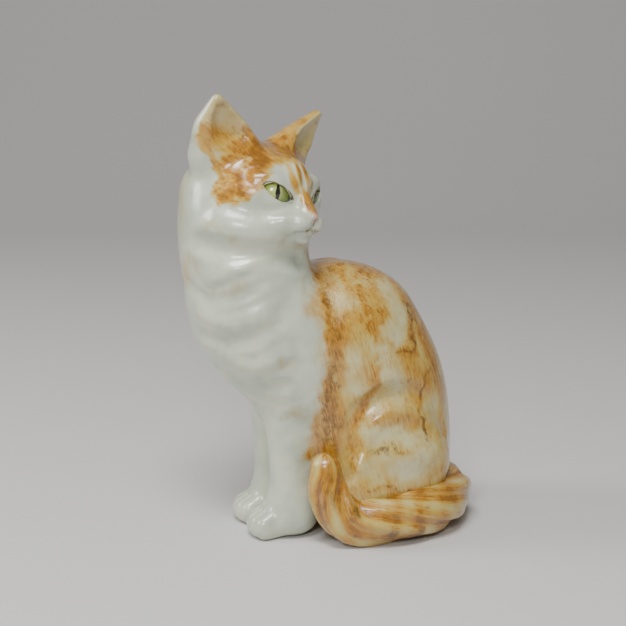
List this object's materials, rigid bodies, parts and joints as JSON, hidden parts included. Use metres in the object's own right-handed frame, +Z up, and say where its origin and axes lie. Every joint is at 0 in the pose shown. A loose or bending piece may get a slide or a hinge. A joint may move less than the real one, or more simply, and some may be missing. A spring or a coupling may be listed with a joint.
{
  "type": "cat figurine",
  "caption": "Seated glazed ceramic cat with its head turned back over its left shoulder and its tail curled round its left side.",
  "frame": {"origin": "centre of the figurine's footprint, in the plane it stands on", "axes": "+Z up; -Y the way the chest and forepaws face; +X the cat's own left, the side its tail lies on"},
  "size_m": [0.1318, 0.2013, 0.3],
  "materials": {
    "white_glaze": "gloss",
    "ginger_glaze": "gloss",
    "bisque": "matt",
    "eye_glass": "polished",
    "iris_enamel": "gloss",
    "cement": "matt"
  },
  "bodies": {
    "root": {"torso_shell": "white_glaze", "base_disc": "bisque", "head_shell": "white_glaze", "left_ear": "ginger_glaze", "right_ear": "ginger_glaze", "left_foreleg": "white_glaze", "right_foreleg": "white_glaze", "right_hind_paw": "white_glaze", "tail": "ginger_glaze", "left_eye_glass": "eye_glass", "right_eye_glass": "eye_glass", "left_eye_iris": "iris_enamel", "right_eye_iris": "iris_enamel", "left_eye_cement": "cement", "right_eye_cement": "cement"}
  },
  "joints": []
}
